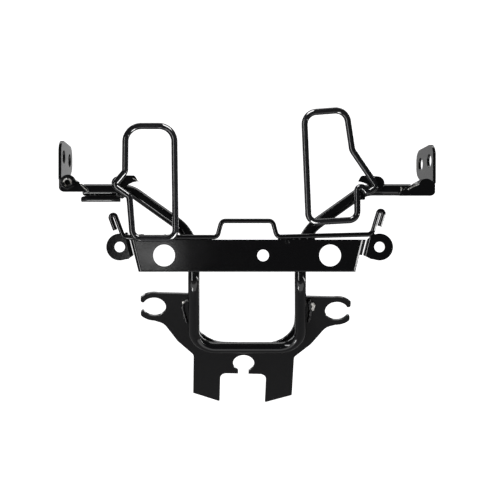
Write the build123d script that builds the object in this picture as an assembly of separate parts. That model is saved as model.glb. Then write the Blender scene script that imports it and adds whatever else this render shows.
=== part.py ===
from build123d import *
import math
import os

# Instrument bracket for the front of a motorbike: a welded frame of round bar, pressed sheet and wire.
# Millimetres and degrees. X runs across the bracket, Z is up, and +Y points away from its front face.
# The origin is midway between the two large mounting holes, on the front face of the cross plate.

# Stock sizes
sheet_t = 2.0
bracket_t = 2.5
bar_d = 10.0
loop_d = 5.5
wire_d = 4.0
weld_gap = 0.2

# Cross plate
plate_top_z = 13.55
plate_bottom_z = -13.95
plate_top_half = 99.4
plate_bottom_half = 92.5
plate_bend_r = 3.2
plate_flange_depth = 10.0
left_flange_splay = 0.0
right_flange_splay = 17.0
plate_edge_r = 1.1
main_hole_d = 18.6
main_hole_x = 70.6
centre_hole_d = 10.0
centre_hole_x = 13.6

# Ears beside the cross plate
ear_hole_d = 9.0
ear_r = 11.5
ear_z = 7.2
left_ear_gap = 1.1
right_ear_gap = 0.3
left_ear_reach = 9.7
right_ear_reach = 11.88
ear_fold_depth = 9.0
ear_bend_r = 3.2
ear_fold_top = 6.4
ear_fold_bottom = -7.0
ear_lug_x = 6.2
ear_lug_z = 12.4
ear_lug_r = 2.4

# Frame bar
bar_lean = 5.0
arm_z = 56.25
arm_end_x = 141.0
knot_x = 100.4
shoulder_x = 45.5
shoulder_z = 17.2
knee_z = -21.8
foot_x = 46.9
foot_drop = 73.6
bar_tilt = 36.0
knot_r = 24.0
shoulder_r = 38.0
knee_r = 19.0
foot_r = 19.0

# Lower plate
keyhole_x = 79.2
keyhole_drop = 30.7
keyhole_d = 20.2
keyhole_mouth = 9.0
lobe_r = 15.3
lobe_reach = 91.0
lip_r = 2.0
lower_top_drop = 15.8
waist_x = 70.8
waist_drop = 49.0
waist_r = 12.0
hip_x = 58.8
hip_drop = 68.4
hip_r = 25.0
prong_outer_x = 44.6
prong_root_drop = 83.6
prong_root_r = 5.0
prong_side_drop = 128.2
prong_tip_drop = 137.5
prong_tip_r = 1.0
notch_half = 20.5
notch_drop = 104.2
notch_r = 5.6
centre_key_d = 19.0
centre_key_drop = 92.2
centre_key_neck = 9.3
window_half = 43.0
window_drop = 69.4
window_r = 26.0
lower_plate_shift = -0.5
lower_plate_roll = 1.7

# Top wire
wire_y = 1.8
jog_foot_half = 25.4
jog_top_half = 21.7
jog_z = 29.4
wire_right_rise = 2.3
wire_left_inset = 3.3
wire_right_inset = 6.8
hook_width = 4.4
left_hook_lean = 20.5
left_hook_top_rise = 19.5
left_hook_tip_rise = 6.0
right_hook_lean = 16.8
right_hook_top_rise = 20.5
right_hook_tip_rise = 6.9
jog_r = 4.2
wire_end_r = 5.0

# Loops
loop_gap = 0.4
left_loop_lean = 6.0
left_loop_rise = 0.85
left_loop_top_z = 110.6
left_loop_inner_top_x = -62.3
left_loop_inner_foot_x = -60.6
left_loop_outer_top_x = -103.9
left_loop_outer_foot_x = -96.9
left_kink_top_z = 71.6
left_kink_tip_x = -113.6
left_kink_tip_z = 59.8
left_kink_foot_x = -100.1
left_kink_foot_z = 50.2
hook_gap = 0.1
right_loop_top_inner = (48.6, 121.5)
right_loop_top_outer = (84.4, 124.2)
right_loop_neck = (89.5, 89.8)
right_kink_tip = (110.7, 58.6)
right_kink_foot = (103.0, 53.2)
right_kink_hook = (93.8, 63.4)
right_loop_foot_outer = (94.0, 30.4)
right_loop_foot_inner = (52.4, 28.1)
left_loop_top_r = 13.5
right_loop_top_r = 10.5
loop_foot_r = 7.5
kink_r = 3.2
kink_root_r = 5.0

# End brackets
bracket_x = 161.1
left_nut_z = 62.2
right_nut_z = 58.8
nut_x = 153.0
left_splay = 6.0
right_splay = 12.8
side_depth = 45.0
side_near_top = 37.4
side_far_top = 32.4
side_far_bottom = 5.6
side_far_bottom_depth = 33.5
side_far_rise = 6.0
side_far_r = 10.0
side_near_r = 10.0
web_bottom = -7.9
web_top = 2.0
left_web_tip_x = 135.2
right_web_tip_x = 129.6
web_end_slope = 7.0
web_end_rise = 6.5
web_relief = 1.0
web_bend_r = 1.5
web_corner_r = 5.0
web_lobe_r = 6.8
side_hole_d = 11.6
side_hole_near = 10.4
side_hole_pitch = 23.1
side_hole_z = 22.4
side_hole_fall = 2.0

# Weld nut
nut_across_flats = 10.0
nut_height = 5.0
nut_collar_d = 12.0
nut_collar_t = 1.4
nut_bore_d = 5.1
nut_mouth = 1.2

# Cable hooks, the guide bar and the small tab at the knots
hook_t = 2.4
hook_disc_r = 5.95
left_disc = (-109.8, 61.8)
right_disc = (111.3, 61.6)
guide_d = 5.6
guide_tip_d = 4.2
guide_turn = 18.0
guide_tip_length = 5.0
guide_tip_bevel = 0.6
guide_outer_x = -142.2
guide_inner_x = -108.5
tab_x = 98.6
tab_width = 4.3
tab_t = 2.2
tab_top_z = 56.8
tab_bottom_z = 47.5

# Places that follow from the sizes above
lean = math.tan(math.radians(bar_lean))
bar_r = bar_d / 2
bar_contact_y = sheet_t + weld_gap + bar_r


def bar_y(z):
    """Depth of the bar's centre line in the upper, leaning part of the frame."""
    return bar_contact_y + (z - plate_bottom_z) * lean


def plate_half(z):
    """Half the cross plate's width at a height."""
    share = (z - plate_bottom_z) / (plate_top_z - plate_bottom_z)
    return plate_bottom_half + (plate_top_half - plate_bottom_half) * share


def ear_x(splay, gap, reach):
    """Distance of an ear's hole from the middle, clear of the plate's folded end."""
    fold = plate_half(ear_z) + plate_flange_depth * math.sin(math.radians(splay))
    return fold + gap + reach


left_ear_x = -ear_x(left_flange_splay, left_ear_gap, left_ear_reach)
right_ear_x = ear_x(right_flange_splay, right_ear_gap, right_ear_reach)
hook_front_y = bar_y(arm_z) - bar_r - weld_gap - hook_t
left_loop_y = -loop_gap - loop_d / 2
left_loop_bottom_z = plate_top_z + left_loop_rise
right_loop_y = hook_front_y - hook_gap - loop_d / 2


def rod(points, radii, diameter, closed=False):
    """Round rod along straight runs joined by tangent arcs."""
    path = FilletPolyline(*points, radius=radii, close=closed).wire()
    start = Plane(origin=path @ 0, z_dir=path % 0)
    return sweep(start * Circle(diameter / 2), path=path)


def slab(outline, front_y, thickness):
    """Sheet parallel to the front face, from an outline drawn in X and Z."""
    flat = Plane(origin=(0, front_y, 0), x_dir=(1, 0, 0), z_dir=(0, -1, 0))
    return extrude(flat * outline, amount=-thickness)


def hole_y(x, z, diameter, front_y, depth):
    """Cutter for a round hole that runs front to back."""
    return Pos(x, front_y + depth / 2, z) * Rot(90, 0, 0) * Cylinder(diameter / 2, depth + 2)


def cross_plate():
    """Pressed strip with both ends folded back and three holes."""
    height = plate_top_z - plate_bottom_z
    section = Polygon(
        (0, plate_bottom_z),
        (sheet_t, plate_bottom_z),
        (sheet_t, plate_top_z),
        (0, plate_top_z),
        align=None,
    )
    section = fillet(near(section.vertices(), 0, plate_bottom_z), plate_edge_r)
    strip = extrude(Plane.YZ * section, amount=max(plate_top_half, plate_bottom_half), both=True)
    face = Polygon(
        (-plate_bottom_half + plate_bend_r, plate_bottom_z),
        (plate_bottom_half - plate_bend_r, plate_bottom_z),
        (plate_top_half - plate_bend_r, plate_top_z),
        (-plate_top_half + plate_bend_r, plate_top_z),
        align=None,
    )
    plate = strip & slab(face, 0, sheet_t)
    slant = Vector(plate_top_half - plate_bottom_half, 0, height)
    for side, splay in ((-1, left_flange_splay), (1, right_flange_splay)):
        plate += plate_end(side, splay, slant)
    for x in (-main_hole_x, main_hole_x):
        plate -= hole_y(x, 0, main_hole_d, 0, sheet_t)
    return plate - hole_y(centre_hole_x, 0, centre_hole_d, 0, sheet_t)


def plate_end(side, splay, slant):
    """Folded end of the cross plate, drawn in plan and drawn out along its slanted edge."""
    start_x = plate_bottom_half - plate_bend_r
    mid_r = plate_bend_r - sheet_t / 2
    turn = 90 - splay
    corner_x = start_x + mid_r * math.tan(math.radians(turn / 2))
    tail = plate_flange_depth
    line = FilletPolyline(
        (side * start_x, sheet_t / 2),
        (side * corner_x, sheet_t / 2),
        (
            side * (corner_x + tail * math.sin(math.radians(splay))),
            sheet_t / 2 + tail * math.cos(math.radians(splay)),
        ),
        radius=mid_r * 0.999,
    )
    profile = Pos(0, 0, plate_bottom_z) * trace(line, sheet_t)
    direction = Vector(side * slant.X, 0, slant.Z)
    return extrude(profile, amount=direction.length, dir=direction)


def ear(side, centre_x, reach):
    """Ring tab with a lug to the wire and a folded inner edge that runs along the plate's slanted end."""
    front_y = wire_y + wire_d / 2 + weld_gap
    mid_y = front_y + sheet_t / 2
    fold_x = reach - sheet_t / 2
    line = FilletPolyline(
        (-2 * ear_r, mid_y),
        (fold_x, mid_y),
        (fold_x, mid_y + ear_fold_depth),
        radius=ear_bend_r - sheet_t / 2,
    )
    span = 4 * ear_r
    slope = (plate_top_half - plate_bottom_half) / (plate_top_z - plate_bottom_z)
    slant = Vector(-slope * span, 0, span)
    profile = Pos(slope * span / 2, 0, -span / 2) * trace(line, sheet_t)
    sheet = extrude(profile, amount=slant.length, dir=slant)
    outline = Circle(ear_r) + Polygon(
        (0, -ear_r),
        (7.5, -10.2),
        (reach - slope * ear_fold_bottom, ear_fold_bottom),
        (reach + 2 * sheet_t, ear_fold_bottom),
        (reach + 2 * sheet_t, ear_fold_top),
        (reach - slope * ear_fold_top, ear_fold_top),
        (7.0, ear_r - 2.0),
        (0, ear_r),
        align=None,
    )
    outline += make_hull(
        (Circle(ear_lug_r) + Pos(ear_lug_x, ear_lug_z - ear_lug_r) * Circle(ear_lug_r)).edges()
    )
    tab = sheet & slab(outline, front_y, sheet_t + ear_fold_depth)
    tab -= hole_y(0, 0, ear_hole_d, front_y, sheet_t)
    if side > 0:
        tab = mirror(tab, about=Plane.YZ)
    return Pos(centre_x, 0, ear_z) * tab


def frame_bar():
    """Round bar from one arm end, down both sides of the U and out to the other arm."""
    tilt = math.radians(bar_tilt)
    foot_z = knee_z - foot_drop * math.cos(tilt)
    foot_y = bar_y(knee_z) + foot_drop * math.sin(tilt)
    half = [
        (arm_end_x, bar_y(arm_z), arm_z),
        (knot_x, bar_y(arm_z), arm_z),
        (shoulder_x, bar_y(shoulder_z), shoulder_z),
        (shoulder_x, bar_y(knee_z), knee_z),
        (foot_x, foot_y, foot_z),
    ]
    points = [(-x, y, z) for x, y, z in half] + half[::-1]
    bends = [knot_r, shoulder_r, knee_r, foot_r]
    bar = rod(points, bends + bends[::-1], bar_d)
    ends = bar.faces().filter_by(Axis.X).edges()
    return chamfer(ends, 1.0)


def lower_plane():
    """Front face of the lower plate, which lies against the back of the tilted U."""
    tilt = math.radians(bar_tilt)
    back = (bar_r + weld_gap / 2) / math.cos(tilt)
    origin = (lower_plate_shift, bar_y(knee_z) + back, knee_z)
    roll = math.radians(lower_plate_roll)
    across = (math.cos(roll), math.sin(roll) * math.sin(tilt), -math.sin(roll) * math.cos(tilt))
    return Plane(origin=origin, x_dir=across, z_dir=(0, -math.cos(tilt), -math.sin(tilt)))


def lower_outline():
    """Half of the lower plate's outline with its side keyhole, mirrored to the whole."""
    body = Polygon(
        (0, -notch_drop),
        (notch_half, -notch_drop),
        (notch_half, -prong_tip_drop),
        (prong_outer_x, -prong_side_drop),
        (prong_outer_x, -prong_root_drop),
        (hip_x, -hip_drop),
        (waist_x, -waist_drop),
        (keyhole_x, -keyhole_drop - lobe_r),
        (keyhole_x, -lower_top_drop),
        (0, -lower_top_drop),
        align=None,
    )
    corners = (
        (waist_x, waist_drop, waist_r),
        (hip_x, hip_drop, hip_r),
        (prong_outer_x, prong_root_drop, prong_root_r),
        (prong_outer_x, prong_side_drop, prong_tip_r),
        (notch_half, prong_tip_drop, prong_tip_r),
        (notch_half, notch_drop, notch_r),
    )
    for x, drop, radius in corners:
        body = fillet(near(body.vertices(), x, -drop), radius)
    lobe = Pos(keyhole_x, -keyhole_drop) * Circle(lobe_r)
    lobe &= Pos(keyhole_x, -keyhole_drop) * Rectangle(2 * (lobe_reach - keyhole_x), 4 * lobe_r)
    half = body + lobe
    half -= Pos(keyhole_x, -keyhole_drop) * Circle(keyhole_d / 2)
    mouth = Pos(keyhole_x + lobe_r, -keyhole_drop) * Rectangle(2 * lobe_r, keyhole_mouth)
    half -= mouth
    inner_x = keyhole_x + math.sqrt(keyhole_d**2 - keyhole_mouth**2) / 2
    for side in (-1, 1):
        lip_y = -keyhole_drop + side * keyhole_mouth / 2
        half = fillet(near(half.vertices(), lobe_reach, lip_y), lip_r)
        half = fillet(near(half.vertices(), inner_x, lip_y), lip_r / 2)
    return half


def near(vertices, x, y):
    """The corner closest to a point of the outline."""
    return vertices.sort_by_distance((x, y, 0))[0]


def lower_plate():
    """Flat stamped plate with three open keyholes, a window inside the U and two prongs."""
    half = lower_outline()
    window = Pos(0, -window_drop / 2) * Rectangle(2 * window_half, window_drop)
    half -= fillet(window.vertices().sort_by(Axis.Y)[:2], window_r)
    half -= Pos(0, -centre_key_drop) * Circle(centre_key_d / 2)
    half -= Pos(0, -centre_key_drop - centre_key_d) * Rectangle(centre_key_neck, 2 * centre_key_d)
    right = extrude(half, amount=-sheet_t)
    return lower_plane().location * (right + mirror(right, about=Plane.YZ))


def hook_points(side, foot_x, foot_z, lean_angle, top_rise, tip_rise):
    """Corners of the hairpin at one end of the top wire, from the plate outwards to its tip."""
    angle = math.radians(lean_angle)
    along = (side * math.sin(angle), math.cos(angle))
    out = (side * math.cos(angle), -math.sin(angle))
    rise = top_rise / math.cos(angle)
    inner = (foot_x + along[0] * rise, foot_z + along[1] * rise)
    outer = (inner[0] + out[0] * hook_width, inner[1] + out[1] * hook_width)
    drop = (outer[1] - foot_z - tip_rise) / math.cos(angle)
    tip = (outer[0] - along[0] * drop, outer[1] - along[1] * drop)
    return [(foot_x, foot_z), inner, outer, tip]


def top_wire():
    """One bent wire on the top edge of the cross plate, with a raised middle and hairpin ends."""
    left_z = plate_top_z + wire_d / 2 + weld_gap / 2
    right_z = left_z + wire_right_rise
    left_hook = (left_hook_lean, left_hook_top_rise, left_hook_tip_rise)
    right_hook = (right_hook_lean, right_hook_top_rise, right_hook_tip_rise)
    left = hook_points(-1, left_ear_x + wire_left_inset, left_z, *left_hook)
    right = hook_points(1, right_ear_x - wire_right_inset, right_z, *right_hook)
    middle = [
        (-jog_foot_half, left_z),
        (-jog_top_half, jog_z),
        (jog_top_half, jog_z),
        (jog_foot_half, left_z + 0.2),
    ]
    flat = left[::-1] + middle + right
    points = [(x, wire_y, z) for x, z in flat]
    tight = hook_width / 2 - 0.05
    bends = [tight, tight, wire_end_r, jog_r, jog_r, jog_r, jog_r, wire_end_r, tight, tight]
    return rod(points, bends, wire_d)


def left_loop():
    """Closed wire loop over the left end of the plate, kinked round the frame bar."""
    slope = math.tan(math.radians(left_loop_lean))
    flat = [
        (left_loop_inner_foot_x, left_loop_bottom_z),
        (left_loop_inner_top_x, left_loop_top_z),
        (left_loop_outer_top_x, left_loop_top_z),
        (left_loop_outer_top_x, left_kink_top_z),
        (left_kink_tip_x, left_kink_tip_z),
        (left_kink_foot_x, left_kink_foot_z),
        (left_loop_outer_foot_x, left_loop_bottom_z),
    ]
    points = [(x, left_loop_y + (z - left_loop_bottom_z) * slope, z) for x, z in flat]
    bends = [loop_foot_r, left_loop_top_r, left_loop_top_r, kink_root_r, kink_r, kink_root_r, loop_foot_r]
    return rod(points, bends, loop_d, closed=True)


def right_loop():
    """Closed wire loop beside the right end of the plate, kinked round the frame bar."""
    flat = [
        right_loop_foot_inner,
        right_loop_top_inner,
        right_loop_top_outer,
        right_loop_neck,
        right_kink_tip,
        right_kink_foot,
        right_kink_hook,
        right_loop_foot_outer,
    ]
    points = [(x, right_loop_y, z) for x, z in flat]
    bends = [loop_foot_r, right_loop_top_r, right_loop_top_r, 9, kink_r, kink_r, kink_r, loop_foot_r]
    return rod(points, bends, loop_d, closed=True)


def web_front_y():
    """Front face of the end brackets' webs, which lie on the front of the arms."""
    return bar_y(arm_z) - bar_r - weld_gap - bracket_t


def side_outline():
    """Side plate of an end bracket, with depth to the right and height upwards."""
    outline = Polygon(
        (0, web_bottom + web_corner_r),
        (side_far_bottom_depth, side_far_bottom),
        (side_depth, side_far_bottom + side_far_rise),
        (side_depth, side_far_top),
        (0, side_near_top),
        align=None,
    )
    outline = fillet(near(outline.vertices(), 0, side_near_top), side_near_r)
    outline = fillet(near(outline.vertices(), side_depth, side_far_top), side_far_r)
    outline = fillet(near(outline.vertices(), side_depth, side_far_bottom + side_far_rise), side_far_r)
    for depth, drop in ((side_hole_near, 0), (side_hole_near + side_hole_pitch, side_hole_fall)):
        outline -= Pos(depth, side_hole_z - drop) * Circle(side_hole_d / 2)
    return outline


def web_outline(tip_x):
    """Web of an end bracket as seen from the front."""
    outline = Polygon(
        (tip_x, web_bottom),
        (bracket_x, web_bottom),
        (bracket_x, web_top),
        (tip_x + web_end_slope + 5, web_top),
        (tip_x + web_end_slope, web_bottom + web_end_rise),
        align=None,
    )
    outline = fillet(near(outline.vertices(), bracket_x, web_bottom), web_corner_r)
    return outline + Pos(nut_x, 0) * Circle(web_lobe_r)


def end_bracket(side, nut_z, splay, tip_x):
    """Pressed corner: a web on the arm, a side plate with two holes and a gusset between them."""
    front = web_front_y()
    turn = math.radians(splay)
    back = Vector(-math.sin(turn), math.cos(turn), 0)
    outward = Vector(math.cos(turn), math.sin(turn), 0)
    side_face = Plane(origin=(bracket_x, front, 0), x_dir=back, z_dir=outward)
    corner = extrude(side_face * side_outline(), amount=-bracket_t)
    corner += slab(web_outline(tip_x), front, bracket_t)
    far = side_face.from_local_coords((side_far_bottom_depth - 1, side_far_bottom + 1, -bracket_t / 2))
    gusset = Polyline(
        (tip_x + web_end_slope + 1, front + bracket_t / 2, web_top - 3.0),
        (bracket_x - bracket_t, front + bracket_t / 2, web_top - 0.4),
        far,
        close=True,
    )
    corner += extrude(make_face(gusset), amount=bracket_t * 0.6, both=True)
    reach = 2 * side_depth
    plan = Polygon(
        (nut_x - reach, front),
        (bracket_x, front),
        (bracket_x + reach * back.X, front + reach * back.Y),
        (nut_x - reach, front + reach * back.Y),
        align=None,
    )
    bend_top = web_top + web_relief
    bent = fillet(near(plan.vertices(), bracket_x, front), web_bend_r)
    below = corner & Pos(0, 0, bend_top - reach) * extrude(bent, amount=reach)
    above = corner & Pos(0, 0, bend_top) * extrude(plan, amount=reach)
    corner = below + above
    arm = Cylinder(bar_r + weld_gap / 2, bar_d * 4)
    corner -= Pos(arm_end_x + weld_gap - bar_d * 2, bar_y(arm_z), arm_z - nut_z) * Rot(0, 90, 0) * arm
    if side < 0:
        corner = mirror(corner, about=Plane.YZ)
    return Pos(0, 0, nut_z) * corner


def weld_nut():
    """Hexagon nut with a round collar and a wide mouth, on the front of the left web."""
    flat = Plane(origin=(-nut_x, web_front_y() - weld_gap / 4, left_nut_z), z_dir=(0, -1, 0))
    nut = extrude(flat * Circle(nut_collar_d / 2), amount=nut_collar_t)
    nut += extrude(flat * RegularPolygon(nut_across_flats / 2, 6, major_radius=False), amount=nut_height)
    nut -= extrude(flat * Circle(nut_bore_d / 2), amount=nut_height)
    mouth = nut.edges().filter_by(GeomType.CIRCLE).sort_by(Axis.Y)[0]
    return chamfer(mouth, nut_mouth)


def cable_hook(side, disc):
    """Stamped hook with a round end, flat on the front of the bar behind the loop's kink."""
    claw = Polygon(
        (0, -hook_disc_r),
        (6.4, -3.2),
        (8.4, -1.1),
        (12.0, 0.6),
        (16.6, 1.6),
        (14.4, 5.6),
        (13.2, 6.5),
        (7.0, 6.6),
        (0, hook_disc_r),
        align=None,
    )
    hook = slab(Circle(hook_disc_r) + claw, hook_front_y, hook_t)
    if side > 0:
        hook = mirror(hook, about=Plane.YZ)
    return Pos(disc[0], 0, disc[1]) * hook


def guide_bar():
    """Short bar along the underside of the left arm, pressed down to a thinner tip."""
    turn = math.radians(guide_turn)
    away = bar_r + guide_d / 2 + weld_gap
    y = bar_y(arm_z) - away * math.sin(turn)
    z = arm_z - away * math.cos(turn)
    low = z - guide_d / 2 + guide_tip_d / 2
    tip_end = Plane(origin=(guide_outer_x, y, low), z_dir=(1, 0, 0)) * Circle(guide_tip_d / 2)
    root = Plane(origin=(guide_outer_x + guide_tip_length, y, z), z_dir=(1, 0, 0)) * Circle(guide_d / 2)
    tip = loft([tip_end.face(), root.face()])
    shank = extrude(root, amount=guide_inner_x - guide_outer_x - guide_tip_length)
    bar = tip + shank
    return chamfer(bar.edges().filter_by(GeomType.CIRCLE).sort_by(Axis.X)[0], guide_tip_bevel)


def small_tab():
    """Flat tab on the front of the bar below the right hook."""
    back = bar_y(tab_top_z - 2) - bar_r - weld_gap
    outline = Pos(tab_x, (tab_top_z + tab_bottom_z) / 2) * RectangleRounded(tab_width, tab_top_z - tab_bottom_z, 1)
    return slab(outline, back - tab_t, tab_t)


def build_parts():
    """Every piece of the bracket by name."""
    return {
        "cross_plate": cross_plate(),
        "lower_plate": lower_plate(),
        "frame_bar": frame_bar(),
        "top_wire": top_wire(),
        "left_loop": left_loop(),
        "right_loop": right_loop(),
        "left_ear": ear(-1, left_ear_x, left_ear_reach),
        "right_ear": ear(1, right_ear_x, right_ear_reach),
        "left_end_bracket": end_bracket(-1, left_nut_z, left_splay, left_web_tip_x),
        "right_end_bracket": end_bracket(1, right_nut_z, right_splay, right_web_tip_x),
        "weld_nut": weld_nut(),
        "left_cable_hook": cable_hook(-1, left_disc),
        "right_cable_hook": cable_hook(1, right_disc),
        "guide_bar": guide_bar(),
        "right_tab": small_tab(),
    }


os.makedirs("parts", exist_ok=True)
for name, shape in build_parts().items():
    export_step(shape, f"parts/{name}.step")
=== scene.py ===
"""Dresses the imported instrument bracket: gloss black paint, weld beads, a nut thread and a pale studio."""

import math
import random

import bmesh
import bpy
from mathutils import Matrix, Vector


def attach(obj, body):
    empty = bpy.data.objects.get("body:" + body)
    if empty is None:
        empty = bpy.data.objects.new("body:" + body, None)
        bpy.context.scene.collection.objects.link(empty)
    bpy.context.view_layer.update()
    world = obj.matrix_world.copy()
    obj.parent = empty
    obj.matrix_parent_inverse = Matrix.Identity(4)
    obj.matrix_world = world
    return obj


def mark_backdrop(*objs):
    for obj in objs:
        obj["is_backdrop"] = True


bl_info = {
    "name": "Instrument bracket finish",
    "version": (1, 0, 0),
    "blender": (4, 5, 0),
    "location": "3D View > Sidebar > Bracket",
    "description": "Paint, weld beads and studio for a welded instrument bracket",
    "category": "Object",
}

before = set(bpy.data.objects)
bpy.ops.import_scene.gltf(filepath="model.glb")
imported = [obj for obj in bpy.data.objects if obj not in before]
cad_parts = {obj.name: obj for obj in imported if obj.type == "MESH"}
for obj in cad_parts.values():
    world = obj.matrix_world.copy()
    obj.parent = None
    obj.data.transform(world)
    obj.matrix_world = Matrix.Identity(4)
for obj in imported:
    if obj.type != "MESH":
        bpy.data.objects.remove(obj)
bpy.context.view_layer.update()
MM = 0.001

SHEET_NODES = (
    "cross_plate",
    "lower_plate",
    "left_ear",
    "right_ear",
    "left_end_bracket",
    "right_end_bracket",
    "left_cable_hook",
    "right_cable_hook",
    "right_tab",
)
BAR_NODES = ("frame_bar", "guide_bar")
WIRE_NODES = ("top_wire", "left_loop", "right_loop")
NUT_NODES = ("weld_nut",)

# The weld nut's axis, rim, mouth with painted highlights and M6 thread, in millimetres
NUT_X = -153.0
NUT_Z = 62.2
NUT_RIM_Y = 0.58
MOUTH_OUTER_R = 3.72
MOUTH_INNER_R = 2.5
MOUTH_DEPTH = 1.2
BORE_R = 2.55
THREAD_START_Y = 2.3
THREAD_LENGTH = 3.0
THREAD_PITCH = 1.0
THREAD_HEIGHT = 0.4
THREAD_SINK = 0.05
# Parts of the mouth coloured as bright steel, painted highlights for its lit crescents, as first and last
# angle from +X towards +Z, in degrees
MOUTH_GLINT_ARCS = ((-18, 68), (95, 178), (226, 252))

# Colours of settled dust and of paint worn thin; then, in millimetres, how round thick paint makes a sharp
# edge, how far in from it the paint wears, and how deep its ripples are
DUST_COLOUR = (0.33, 0.32, 0.3, 1.0)
WORN_COLOUR = (0.19, 0.19, 0.2, 1.0)
PAINT_ROUNDING = 0.45
WORN_ROUNDING = 0.5
PEEL_DEPTH = 0.25

# Width of a common bead in millimetres, and the melting grain as a share of a bead's width
BEAD_WIDTH = 4.6
MELT_SHARE = 0.076
# Weld beads and tacks, as a width and a run of points in the bracket's frame, in millimetres
WELDS = {
    "left_leg_weld": (
        3.2,
        (
            (-51.6, 24.3, -38.4),
            (-55.2, 25.8, -40.4),
            (-56.3, 29.0, -45.0),
            (-55.0, 33.2, -50.6),
            (-53.2, 38.4, -58.0),
        ),
    ),
    "right_leg_weld": (
        3.6,
        ((53.4, 24.0, -38.0), (54.6, 30.4, -47.4), (54.8, 33.2, -51.4), (53.6, 37.6, -57.4)),
    ),
    "wire_weld": (2.3, ((27.0, 1.9, 13.8), (57.0, 1.9, 14.15))),
    "left_wire_weld": (2.2, ((-99.0, 1.9, 13.7), (-31.0, 1.9, 13.7))),
    "left_lug_weld": (2.6, ((-103.8, 3.9, 16.0), (-102.6, 3.9, 18.6))),
    "right_lug_weld": (2.6, ((106.0, 3.9, 18.0), (107.0, 3.9, 20.4))),
    "left_web_weld": (2.8, ((-135.6, 8.0, 54.8), (-141.4, 8.0, 60.2))),
    "right_web_weld": (2.8, ((130.8, 8.0, 53.4), (136.0, 8.0, 57.0))),
    "guide_weld_outer": (2.4, ((-134.0, 10.2, 51.6), (-129.5, 10.2, 51.6))),
    "guide_weld_inner": (5.2, ((-110.4, 9.6, 52.0), (-107.0, 9.2, 51.4), (-103.6, 8.8, 52.2))),
    "left_foot_weld": (2.6, ((-93.0, -0.4, 16.6), (-88.0, -0.4, 16.8))),
    "left_foot_weld_inner": (2.6, ((-70.0, -0.4, 16.8), (-65.0, -0.4, 16.6))),
    "right_foot_weld": (3.0, ((58.5, 5.6, 29.6), (62.5, 5.7, 31.4))),
    "left_hook_weld": (3.4, ((-113.5, 9.2, 60.4), (-104.0, 9.2, 60.2))),
    "right_hook_weld": (3.4, ((106.5, 9.2, 60.4), (115.0, 9.2, 60.4))),
    "plate_mark_a": (1.2, ((33.1, -0.05, 10.8), (32.9, -0.05, 12.2))),
    "plate_mark_b": (1.2, ((35.8, -0.05, 10.7), (35.4, -0.05, 12.0))),
    "plate_spatter": (1.5, ((-41.7, 0.0, 9.7), (-41.3, 0.0, 9.4))),
}
# Bright steel lumps, told in the same way; the two leg lumps are painted highlights for the glints on the
# leg welds
BRIGHT_LUMPS = {
    "right_leg_glint": (3.0, ((56.4, 26.4, -41.6), (57.6, 28.2, -44.0), (56.6, 30.2, -47.0))),
    "left_leg_glint": (1.6, ((-54.6, 24.6, -39.8), (-55.6, 25.4, -41.2))),
    "wire_end_lump": (1.2, ((-82.0, 1.0, 13.9), (-81.0, 0.9, 13.9))),
}
# Duller light steel lines, told in the same way: painted highlights along the webs' edges and on the right
# arm's end, and the left claw's thin grey tail, partly a painted highlight
EDGE_GLINT_LINES = {
    "left_web_edge_glint": (0.75, ((-141.9, 5.7, 60.3), (-135.7, 5.7, 54.6))),
    "right_web_glint": (1.3, ((137.4, 5.5, 56.4), (142.6, 5.5, 59.3), (146.8, 5.5, 60.8))),
    "right_arm_end_glint": (1.9, ((131.9, 8.2, 55.0), (131.9, 8.2, 57.6))),
    "left_claw_tail": (0.8, ((-97.6, 5.9, 66.0), (-94.6, 5.9, 64.2), (-92.8, 5.9, 63.4))),
}

# The camera's place beside and above the origin, and its sensor's width, in millimetres
CAMERA_X = 2.465
CAMERA_Z = 4.6325
SENSOR_WIDTH = 36.0

# The floor's and the backdrops' places, in metres
FLOOR_Z = -0.30
FLOOR_HALF = 3.0
FLOOR_NEAR = -0.5
FLOOR_FAR = 2.2
BACKDROP_Y = 1.9
BACKDROP_FOOT = -0.8
BACKDROP_TOP = 0.95
# Name, left edge, right edge and mirrored brightness of each upright sheet behind the bracket
BACKDROPS = (
    ("studio_backdrop", -0.62, 0.62, 0.5),
    ("studio_left_wing", -1.25, -0.62, 0.5),
)
# Brightness of the paper to the camera, and of the world in front of the bracket and behind it to the paint
PAPER_SEEN = 1.0
WORLD_GLOW = 0.05
BACK_GLOW = 0.3
# Name, place, aim, width, height and brightness of each soft light, in metres
LIGHTS = (
    ("left_strip", (-0.82, -1.02, -0.05), (0.0, 0.0, -0.05), 0.22, 1.3, 12.0),
    ("left_card", (-0.165, -1.4, -0.005), (-0.12, 0.0, 0.0), 0.075, 0.06, 3.0),
    ("overhead_soft", (0.0, 0.45, 1.2), (0.0, 0.0, 0.0), 1.4, 0.5, 3.0),
    ("floor_glow", (0.0, -0.185, -0.29), (0.0, -0.2, 0.0), 1.0, 0.23, 1.2),
    ("arm_glow", (-0.155, -0.11, -0.288), (-0.155, -0.12, 0.0), 0.07, 0.07, 16.0),
    ("rear_strip", (0.75, 1.1, 0.2), (0.0, 0.0, 0.0), 0.18, 1.0, 7.0),
    ("rear_left_strip", (-0.95, 0.8, 0.4), (0.0, 0.0, 0.0), 0.14, 0.9, 7.0),
    ("right_fold_card", (1.2, -0.3, -0.25), (0.0, -0.3, 0.0), 1.4, 0.06, 15.0),
)
# Small lights that only the kinked loops see
KINK_LIGHTS = (
    ("kink_light_low", (0.022, -0.079, -0.046), (-0.107, 0.002, 0.06), 0.09, 0.09, 32.0),
    ("kink_light_high", (-0.01, -0.083, 0.25), (0.0, 0.002, 0.06), 0.09, 0.1, 30.0),
)
KINKED_LOOPS = ("left_loop", "right_loop")


def mm(*values):
    """Millimetres to the scene's metres."""
    return tuple(v * MM for v in values)


# Settings that a user would change


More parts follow.
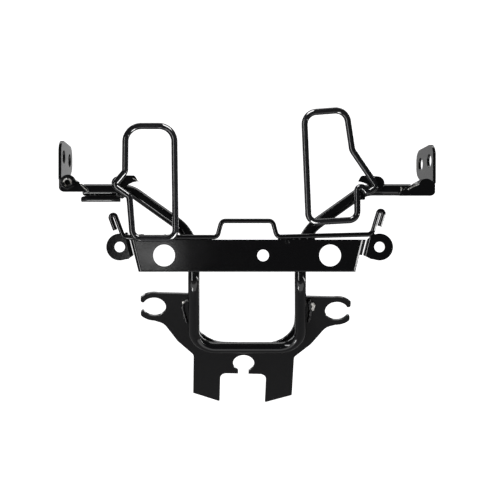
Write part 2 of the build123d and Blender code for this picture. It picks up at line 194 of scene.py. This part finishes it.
class PaintSettings(bpy.types.PropertyGroup):
    colour: bpy.props.FloatVectorProperty(
        name="Paint colour",
        description="Colour of the black paint on bar, sheet and wire",
        subtype="COLOR",
        size=3,
        min=0.0,
        max=1.0,
        default=(0.004, 0.004, 0.0045),
    )
    roughness: bpy.props.FloatProperty(
        name="Roughness",
        description="Roughness of the paint where it is clean",
        subtype="FACTOR",
        min=0.0,
        max=1.0,
        default=0.1,
    )
    peel_size: bpy.props.FloatProperty(
        name="Orange peel size",
        description="Distance between the ripples in the paint",
        subtype="DISTANCE",
        default=1.6 * MM,
    )
    peel_height: bpy.props.FloatProperty(
        name="Orange peel height",
        description="Strength of the ripples in the paint",
        subtype="FACTOR",
        min=0.0,
        max=1.0,
        default=0.05,
    )
    dust: bpy.props.FloatProperty(
        name="Dust",
        description="How much fine dust lies on faces that look up",
        subtype="FACTOR",
        min=0.0,
        max=1.0,
        default=0.12,
    )


class WeldSettings(bpy.types.PropertyGroup):
    width: bpy.props.FloatProperty(
        name="Bead width",
        description="Width of a weld bead",
        subtype="DISTANCE",
        default=BEAD_WIDTH * MM,
    )
    pitch: bpy.props.FloatProperty(
        name="Ripple pitch",
        description="Distance between the ripples of a weld bead",
        subtype="DISTANCE",
        default=1.3 * MM,
    )


class StudioSettings(bpy.types.PropertyGroup):
    distance: bpy.props.FloatProperty(
        name="Camera distance",
        description="Distance from the camera to the front of the cross plate",
        subtype="DISTANCE",
        default=1.4,
    )
    lens: bpy.props.FloatProperty(
        name="Lens",
        description="Focal length of the camera in millimetres on a 36 mm sensor",
        default=118.588,
    )
    floor_colour: bpy.props.FloatVectorProperty(
        name="Floor colour",
        description="Colour of the floor as the paint mirrors it",
        subtype="COLOR",
        size=3,
        min=0.0,
        max=1.0,
        default=(0.42, 0.42, 0.42),
    )
    backdrop_colour: bpy.props.FloatVectorProperty(
        name="Backdrop colour",
        description="Colour of the upright sheets behind the bracket",
        subtype="COLOR",
        size=3,
        min=0.0,
        max=1.0,
        default=(0.9, 0.9, 0.9),
    )


# Shader building blocks


def new_group(name, inputs, outputs):
    """Empty shader node group with named sockets; returns the tree, its input node and its output node."""
    tree = bpy.data.node_groups.new(name, "ShaderNodeTree")
    for label, kind, value in inputs:
        socket = tree.interface.new_socket(label, in_out="INPUT", socket_type=kind)
        socket.default_value = value
    for label, kind in outputs:
        tree.interface.new_socket(label, in_out="OUTPUT", socket_type=kind)
    return tree, tree.nodes.new("NodeGroupInput"), tree.nodes.new("NodeGroupOutput")


def math_node(tree, operation, first, second, clamp=False):
    """Math node; each input is a socket or a number."""
    node = tree.nodes.new("ShaderNodeMath")
    node.operation = operation
    node.use_clamp = clamp
    for socket, value in zip(node.inputs, (first, second)):
        if isinstance(value, (int, float)):
            socket.default_value = value
        else:
            tree.links.new(value, socket)
    return node.outputs[0]


def scaled(tree, value, factor, offset):
    """Value times a factor, plus an offset."""
    result = math_node(tree, "MULTIPLY_ADD", value, factor)
    result.node.inputs[2].default_value = offset
    return result


def noise(tree, vector, scale, detail=2.0, roughness=0.5):
    """Noise texture's value at a scale in waves for each metre."""
    node = tree.nodes.new("ShaderNodeTexNoise")
    node.inputs["Detail"].default_value = detail
    node.inputs["Roughness"].default_value = roughness
    tree.links.new(vector, node.inputs["Vector"])
    if isinstance(scale, (int, float)):
        node.inputs["Scale"].default_value = scale
    else:
        tree.links.new(scale, node.inputs["Scale"])
    return node.outputs[0]


def ramp(tree, value, low, high):
    """Value stretched so that low becomes 0 and high becomes 1, clamped."""
    node = tree.nodes.new("ShaderNodeMapRange")
    node.clamp = True
    node.inputs["From Min"].default_value = low
    node.inputs["From Max"].default_value = high
    tree.links.new(value, node.inputs["Value"])
    return node.outputs["Result"]


def mix_colour(tree, factor, first, second):
    """Mix of two colours; each is a socket or a plain colour."""
    node = tree.nodes.new("ShaderNodeMix")
    node.data_type = "RGBA"
    tree.links.new(factor, node.inputs["Factor"])
    for socket, value in ((node.inputs["A"], first), (node.inputs["B"], second)):
        if isinstance(value, tuple):
            socket.default_value = value
        else:
            tree.links.new(value, socket)
    return node.outputs["Result"]


def orange_peel_group():
    """Ripples and faint runs of sprayed paint, as a height."""
    inputs = (
        ("Size", "NodeSocketFloat", 1.6 * MM),
        ("Runs", "NodeSocketFloat", 0.3),
    )
    tree, source, sink = new_group("Orange peel", inputs, (("Height", "NodeSocketFloat"),))
    place = tree.nodes.new("ShaderNodeTexCoord").outputs["Object"]
    scale = math_node(tree, "DIVIDE", 1.0, source.outputs["Size"])
    fine = noise(tree, place, scale, 1.0)
    broad = noise(tree, place, 55.0, 1.0)
    lifted = math_node(tree, "MULTIPLY", broad, source.outputs["Runs"])
    tree.links.new(math_node(tree, "ADD", fine, lifted), sink.inputs["Height"])
    return tree


def rounded_normal(tree, radius):
    """Normal of the surface as if its sharp edges were rounded by a radius in millimetres."""
    bevel = tree.nodes.new("ShaderNodeBevel")
    bevel.samples = 6
    bevel.inputs["Radius"].default_value = radius * MM
    return bevel.outputs["Normal"]


def edge_likeness(tree, geometry):
    """Close to 1 on flat faces and less beside a sharp edge."""
    compare = tree.nodes.new("ShaderNodeVectorMath")
    compare.operation = "DOT_PRODUCT"
    tree.links.new(geometry.outputs["Normal"], compare.inputs[0])
    tree.links.new(rounded_normal(tree, WORN_ROUNDING), compare.inputs[1])
    return compare.outputs["Value"]


def worn_paint_group():
    """Paint colour and roughness with settled dust, thin edges and a few chips."""
    inputs = (
        ("Paint", "NodeSocketColor", (0.006, 0.006, 0.0065, 1.0)),
        ("Roughness", "NodeSocketFloat", 0.24),
        ("Dust", "NodeSocketFloat", 0.12),
        ("Edge wear", "NodeSocketFloat", 0.2),
    )
    outputs = (("Colour", "NodeSocketColor"), ("Roughness", "NodeSocketFloat"))
    tree, source, sink = new_group("Worn paint", inputs, outputs)
    place = tree.nodes.new("ShaderNodeTexCoord").outputs["Object"]
    geometry = tree.nodes.new("ShaderNodeNewGeometry")
    split = tree.nodes.new("ShaderNodeSeparateXYZ")
    tree.links.new(geometry.outputs["Normal"], split.inputs[0])
    upward = ramp(tree, split.outputs["Z"], 0.45, 1.0)
    speckle = ramp(tree, noise(tree, place, 900.0, 4.0, 0.7), 0.42, 0.75)
    dust = math_node(tree, "MULTIPLY", upward, speckle)
    dust = math_node(tree, "MULTIPLY", dust, source.outputs["Dust"])
    sharp = ramp(tree, edge_likeness(tree, geometry), 0.985, 0.9)
    patches = ramp(tree, noise(tree, place, 240.0, 4.0, 0.6), 0.5, 0.66)
    worn = math_node(tree, "MULTIPLY", sharp, patches)
    worn = math_node(tree, "MULTIPLY", worn, source.outputs["Edge wear"])
    cloudy = ramp(tree, noise(tree, place, 70.0, 3.0), 0.3, 0.8)
    paint = mix_colour(tree, dust, source.outputs["Paint"], DUST_COLOUR)
    paint = mix_colour(tree, worn, paint, WORN_COLOUR)
    tree.links.new(paint, sink.inputs["Colour"])
    rough = math_node(tree, "ADD", source.outputs["Roughness"], scaled(tree, cloudy, 0.06, -0.03))
    rough = math_node(tree, "ADD", rough, math_node(tree, "MULTIPLY", dust, 0.5), clamp=True)
    tree.links.new(rough, sink.inputs["Roughness"])
    return tree


def placed(tree, group, **values):
    """A node group in a material, with its own values."""
    node = tree.nodes.new("ShaderNodeGroup")
    node.node_tree = group
    for label, value in values.items():
        node.inputs[label.replace("_", " ")].default_value = value
    return node


def group_named(name, build):
    """The shader group of that name, built the first time it is asked for."""
    return bpy.data.node_groups.get(name) or build()


def paint_material(name, roughness_offset, edge_wear, peel=1.0):
    """Gloss black paint for one kind of stock."""
    settings = bpy.context.scene.bracket_paint
    material = bpy.data.materials.new(name)
    material.use_nodes = True
    tree = material.node_tree
    shader = tree.nodes["Principled BSDF"]
    paint = placed(
        tree,
        group_named("Worn paint", worn_paint_group),
        Paint=(*settings.colour, 1.0),
        Roughness=settings.roughness + roughness_offset,
        Dust=settings.dust,
        Edge_wear=edge_wear,
    )
    tree.links.new(paint.outputs["Colour"], shader.inputs["Base Color"])
    tree.links.new(paint.outputs["Roughness"], shader.inputs["Roughness"])
    ripples = placed(tree, group_named("Orange peel", orange_peel_group), Size=settings.peel_size, Runs=0.35)
    bump = tree.nodes.new("ShaderNodeBump")
    bump.inputs["Strength"].default_value = settings.peel_height * peel
    bump.inputs["Distance"].default_value = PEEL_DEPTH * MM
    tree.links.new(ripples.outputs["Height"], bump.inputs["Height"])
    tree.links.new(rounded_normal(tree, PAINT_ROUNDING), bump.inputs["Normal"])
    tree.links.new(bump.outputs["Normal"], shader.inputs["Normal"])
    return material


def steel_and_glint_material(name, bright, stain_size=0.7):
    """Light steel with stains of a size in millimetres, bare on the thread and a painted highlight on the
    mouth, lumps and edge lines; bright says how much of it shines.
    """
    material = bpy.data.materials.new(name)
    material.use_nodes = True
    tree = material.node_tree
    shader = tree.nodes["Principled BSDF"]
    place = tree.nodes.new("ShaderNodeTexCoord").outputs["Object"]
    stain = ramp(tree, noise(tree, place, 1.0 / (stain_size * MM), 4.0, 0.6), 0.35, 0.7)
    light = 0.34 + 0.5 * bright
    clean = (light, light, light * 0.98, 1.0)
    stained = (light * 0.4, light * 0.36, light * 0.3, 1.0)
    tree.links.new(mix_colour(tree, stain, clean, stained), shader.inputs["Base Color"])
    tree.links.new(scaled(tree, stain, 0.2, 0.3), shader.inputs["Roughness"])
    shader.inputs["Metallic"].default_value = 0.8 - 0.5 * bright
    return material


def give_material(nodes, material):
    """Puts one material on every slot of the named solids."""
    for name in nodes:
        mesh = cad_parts[name].data
        mesh.materials.clear()
        mesh.materials.append(material)


# Mesh helpers


def smooth_object(name, mesh, material):
    """New object from a mesh, shaded smooth, riding on the bracket."""
    mesh.materials.append(material)
    for face in mesh.polygons:
        face.use_smooth = True
    piece = bpy.data.objects.new(name, mesh)
    bpy.context.scene.collection.objects.link(piece)
    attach(piece, "root")
    return piece


def finished_mesh(name, build):
    """Mesh of a piece that was built in edit form, which is then let go."""
    mesh = bpy.data.meshes.new(name)
    build.to_mesh(mesh)
    build.free()
    return mesh


def along(points, spacing):
    """Points at even steps along a run of corners."""
    points = [Vector(p) for p in points]
    result = []
    for start, end in zip(points, points[1:]):
        steps = max(1, round((end - start).length / spacing))
        result += [start.lerp(end, i / steps) for i in range(steps)]
    return result + [points[-1]]


def weld_bead_mesh(name, points, width, pitch, seed):
    """A bead laid as overlapping drops, each a little different from the last."""
    chance = random.Random(seed)
    bead = bmesh.new()
    for place in along(points, pitch):
        size = width / 2 * chance.uniform(0.88, 1.1)
        shift = Vector([chance.uniform(-0.1, 0.1) * width for _ in range(3)])
        turn = Matrix.Rotation(chance.uniform(0, math.tau), 4, Vector((0.3, 1.0, 0.2)))
        stretch = Matrix.Diagonal((size, size * 0.8, size * chance.uniform(0.8, 1.05), 1.0))
        matrix = Matrix.Translation(place + shift) @ turn @ stretch
        bmesh.ops.create_icosphere(bead, subdivisions=3, radius=1.0, matrix=matrix)
    return finished_mesh(name, bead)


def melted(piece, voxel):
    """Runs a piece's overlapping drops together into one skin."""
    remesh = piece.modifiers.new("Melt", "REMESH")
    remesh.mode = "VOXEL"
    remesh.voxel_size = voxel
    remesh.use_smooth_shade = True
    smooth = piece.modifiers.new("Settle", "SMOOTH")
    smooth.factor = 0.5
    smooth.iterations = 3


def mouth_mesh(name, centre, inner, outer, depth):
    """Bright steel-coloured patches on the cone of the nut's mouth, from its rim to the first thread:
    painted highlights for the mouth's lit crescents.
    """
    chance = random.Random(5)
    cone = bmesh.new()
    for first, last in MOUTH_GLINT_ARCS:
        steps = (last - first) // 4
        rings = []
        for share in (0.0, 0.5, 1.0):
            ring = []
            for i in range(steps + 1):
                angle = math.radians(first + (last - first) * i / steps)
                reach = outer + (inner - outer) * share - chance.uniform(0.0, 0.05) * (outer - inner)
                x = centre[0] + reach * math.cos(angle)
                z = centre[2] + reach * math.sin(angle)
                ring.append(cone.verts.new((x, centre[1] + depth * share, z)))
            rings.append(ring)
        for one, two in zip(rings, rings[1:]):
            for i in range(steps):
                cone.faces.new((one[i], one[i + 1], two[i + 1], two[i]))
    return finished_mesh(name, cone)


def thread_mesh(name, centre, radius, depth, pitch):
    """Ridge of an inside thread, wound towards the back from its first turn's centre."""
    root = radius + THREAD_SINK * MM
    crest = radius - THREAD_HEIGHT * MM
    flank = 0.42 * pitch
    profile = ((root, -flank), (crest, 0.0), (root, flank))
    steps = 36
    turns = int(depth / pitch)
    ridge = bmesh.new()
    rings = []
    for i in range(turns * steps + 1):
        angle = math.tau * i / steps
        y = centre[1] + pitch * i / steps
        ring = []
        for reach, shift in profile:
            x = centre[0] + reach * math.cos(angle)
            z = centre[2] + reach * math.sin(angle)
            ring.append(ridge.verts.new((x, y + shift, z)))
        rings.append(ring)
    for one, two in zip(rings, rings[1:]):
        for j in range(2):
            ridge.faces.new((one[j], two[j], two[j + 1], one[j + 1]))
    return finished_mesh(name, ridge)


# Operators


class BRACKET_OT_paint_sheet(bpy.types.Operator):
    """Paints the pressed plates, ears, brackets and hooks"""

    bl_idname = "bracket.paint_sheet"
    bl_label = "Paint the pressed sheet"

    def execute(self, context):
        give_material(SHEET_NODES, paint_material("Sheet paint", 0.0, 0.25))
        return {"FINISHED"}


class BRACKET_OT_paint_bar(bpy.types.Operator):
    """Paints the frame bar and the guide bar"""

    bl_idname = "bracket.paint_bar"
    bl_label = "Paint the round bar"

    def execute(self, context):
        give_material(BAR_NODES, paint_material("Bar paint", -0.02, 0.15))
        return {"FINISHED"}


class BRACKET_OT_paint_wire(bpy.types.Operator):
    """Paints the top wire and the cable loops"""

    bl_idname = "bracket.paint_wire"
    bl_label = "Paint the wire"

    def execute(self, context):
        give_material(WIRE_NODES, paint_material("Wire paint", -0.04, 0.1, peel=0.7))
        return {"FINISHED"}


class BRACKET_OT_finish_nuts(bpy.types.Operator):
    """Paints the weld nut and cuts its thread"""

    bl_idname = "bracket.finish_nuts"
    bl_label = "Finish the weld nut"

    def execute(self, context):
        give_material(NUT_NODES, paint_material("Nut paint", 0.04, 0.5))
        rim = mm(NUT_X, NUT_RIM_Y, NUT_Z)
        # painted highlights: bright steel patches on the lit crescents of the nut's mouth
        mouth = mouth_mesh("nut_mouth_glints", rim, *mm(MOUTH_INNER_R, MOUTH_OUTER_R, MOUTH_DEPTH))
        smooth_object("nut_mouth_glints", mouth, steel_and_glint_material("Mouth glint steel", 0.6, 2.6))
        start = mm(NUT_X, THREAD_START_Y, NUT_Z)
        thread = thread_mesh("nut_thread", start, *mm(BORE_R, THREAD_LENGTH, THREAD_PITCH))
        smooth_object("nut_thread", thread, steel_and_glint_material("Bare thread", 0.0))
        return {"FINISHED"}


class BRACKET_OT_lay_welds(bpy.types.Operator):
    """Lays the weld beads where the pieces meet, and the bright steel lumps and lines, mostly painted
    highlights
    """

    bl_idname = "bracket.lay_welds"
    bl_label = "Lay the weld beads"

    def execute(self, context):
        settings = context.scene.bracket_weld
        finishes = (
            (WELDS, paint_material("Weld paint", 0.02, 0.3, peel=1.5)),
            # bright steel lumps and light lines: mostly painted highlights on the leg welds, web edges, arm
            # end and claw
            (BRIGHT_LUMPS, steel_and_glint_material("Bright weld steel", 1.0)),
            (EDGE_GLINT_LINES, steel_and_glint_material("Edge glint steel", 0.35)),
        )
        for table, finish in finishes:
            for seed, (name, (width, points)) in enumerate(table.items()):
                run = [mm(*p) for p in points]
                size = settings.width * width / BEAD_WIDTH
                pitch = settings.pitch * width / BEAD_WIDTH
                mesh = weld_bead_mesh(name, run, size, pitch, seed)
                melted(smooth_object(name, mesh, finish), MELT_SHARE * width * MM)
        return {"FINISHED"}


def strip_light(name, place, aim, width, height, radiance):
    """Soft rectangular light that faces a point, as bright as asked whatever its size."""
    light = bpy.data.lights.new(name, "AREA")
    light.shape = "RECTANGLE"
    light.size = width
    light.size_y = height
    light.energy = radiance * math.pi * width * height
    lamp = bpy.data.objects.new(name, light)
    bpy.context.scene.collection.objects.link(lamp)
    lamp.location = place
    lamp.visible_camera = False
    lamp.rotation_euler = (Vector(aim) - Vector(place)).to_track_quat("-Z", "Y").to_euler()
    return lamp


def paper_material(name, colour, glow):
    """Matt pale paper; the camera sees it brighter than the glow that the paint mirrors."""
    material = bpy.data.materials.new(name)
    material.use_nodes = True
    tree = material.node_tree
    shader = tree.nodes["Principled BSDF"]
    shader.inputs["Roughness"].default_value = 0.95
    shader.inputs["Specular IOR Level"].default_value = 0.1
    place = tree.nodes.new("ShaderNodeTexCoord").outputs["Object"]
    grain = ramp(tree, noise(tree, place, 400.0, 3.0), 0.3, 0.7)
    tone = mix_colour(tree, grain, (*colour, 1.0), (*[c * 0.98 for c in colour], 1.0))
    tree.links.new(tone, shader.inputs["Base Color"])
    shader.inputs["Emission Color"].default_value = (1.0, 1.0, 1.0, 1.0)
    path = tree.nodes.new("ShaderNodeLightPath")
    strength = scaled(tree, path.outputs["Is Camera Ray"], PAPER_SEEN - glow, glow)
    tree.links.new(strength, shader.inputs["Emission Strength"])
    return material


def stage_sheet(name, corners, material):
    """Flat stage piece from four corners."""
    mesh = bpy.data.meshes.new(name)
    mesh.from_pydata(corners, [], [(0, 1, 2, 3)])
    mesh.materials.append(material)
    sheet = bpy.data.objects.new(name, mesh)
    bpy.context.scene.collection.objects.link(sheet)
    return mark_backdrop(sheet)


def studio_world():
    """White round the object for the camera, dim for what the paint mirrors."""
    world = bpy.data.worlds.new("Studio")
    world.use_nodes = True
    tree = world.node_tree
    background = tree.nodes["Background"]
    background.inputs["Color"].default_value = (1.0, 1.0, 1.0, 1.0)
    path = tree.nodes.new("ShaderNodeLightPath")
    split = tree.nodes.new("ShaderNodeSeparateXYZ")
    tree.links.new(tree.nodes.new("ShaderNodeTexCoord").outputs["Generated"], split.inputs[0])
    glow = scaled(tree, ramp(tree, split.outputs["Y"], 0.1, 0.7), BACK_GLOW - WORLD_GLOW, WORLD_GLOW)
    strength = math_node(tree, "MAXIMUM", glow, path.outputs["Is Camera Ray"])
    tree.links.new(strength, background.inputs["Strength"])
    return world


class BRACKET_OT_set_stage(bpy.types.Operator):
    """Builds the pale floor and backdrop, the soft lights and the camera"""

    bl_idname = "bracket.set_stage"
    bl_label = "Set the stage"

    def execute(self, context):
        scene = context.scene
        settings = scene.bracket_studio
        floor = [
            (-FLOOR_HALF, FLOOR_NEAR, FLOOR_Z),
            (FLOOR_HALF, FLOOR_NEAR, FLOOR_Z),
            (FLOOR_HALF, FLOOR_FAR, FLOOR_Z),
            (-FLOOR_HALF, FLOOR_FAR, FLOOR_Z),
        ]
        stage_sheet("studio_floor", floor, paper_material("Floor paper", tuple(settings.floor_colour), 0.0))
        for name, left, right, glow in BACKDROPS:
            panel = [
                (left, BACKDROP_Y, BACKDROP_FOOT),
                (right, BACKDROP_Y, BACKDROP_FOOT),
                (right, BACKDROP_Y, BACKDROP_TOP),
                (left, BACKDROP_Y, BACKDROP_TOP),
            ]
            stage_sheet(name, panel, paper_material(name, tuple(settings.backdrop_colour), glow))
        for light in LIGHTS:
            strip_light(*light)
        loops = bpy.data.collections.new("Kinked loops")
        for name in KINKED_LOOPS:
            loops.objects.link(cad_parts[name])
        for light in KINK_LIGHTS:
            strip_light(*light).light_linking.receiver_collection = loops
        scene.world = studio_world()
        scene.view_settings.view_transform = "Standard"
        camera = bpy.data.cameras.new("photo_camera")
        camera.sensor_width = SENSOR_WIDTH
        camera.lens = settings.lens
        camera.clip_start = 0.05
        camera.clip_end = 20.0
        eye = bpy.data.objects.new("photo_camera", camera)
        scene.collection.objects.link(eye)
        eye.location = (CAMERA_X * MM, -settings.distance, CAMERA_Z * MM)
        eye.rotation_euler = (math.radians(90), 0, 0)
        scene.camera = eye
        return {"FINISHED"}


class BRACKET_PT_panel(bpy.types.Panel):
    """Lists the settings and the steps of the finish"""

    bl_idname = "BRACKET_PT_panel"
    bl_label = "Instrument bracket"
    bl_space_type = "VIEW_3D"
    bl_region_type = "UI"
    bl_category = "Bracket"

    def draw(self, context):
        layout = self.layout
        for group in (context.scene.bracket_paint, context.scene.bracket_weld, context.scene.bracket_studio):
            box = layout.box()
            for label in group.__annotations__:
                box.prop(group, label)
        for operator in OPERATORS:
            layout.operator(operator.bl_idname)


OPERATORS = (
    BRACKET_OT_paint_sheet,
    BRACKET_OT_paint_bar,
    BRACKET_OT_paint_wire,
    BRACKET_OT_finish_nuts,
    BRACKET_OT_lay_welds,
    BRACKET_OT_set_stage,
)
CLASSES = (PaintSettings, WeldSettings, StudioSettings, *OPERATORS, BRACKET_PT_panel)


def register():
    for cls in CLASSES:
        bpy.utils.register_class(cls)
    bpy.types.Scene.bracket_paint = bpy.props.PointerProperty(type=PaintSettings)
    bpy.types.Scene.bracket_weld = bpy.props.PointerProperty(type=WeldSettings)
    bpy.types.Scene.bracket_studio = bpy.props.PointerProperty(type=StudioSettings)


def unregister():
    del bpy.types.Scene.bracket_studio
    del bpy.types.Scene.bracket_weld
    del bpy.types.Scene.bracket_paint
    for cls in reversed(CLASSES):
        bpy.utils.unregister_class(cls)


def main():
    """Registers the add-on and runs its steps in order."""
    register()
    bpy.ops.bracket.paint_sheet()
    bpy.ops.bracket.paint_bar()
    bpy.ops.bracket.paint_wire()
    bpy.ops.bracket.finish_nuts()
    bpy.ops.bracket.lay_welds()
    bpy.ops.bracket.set_stage()
    bpy.context.view_layer.update()


if __name__ == "__main__":
    main()
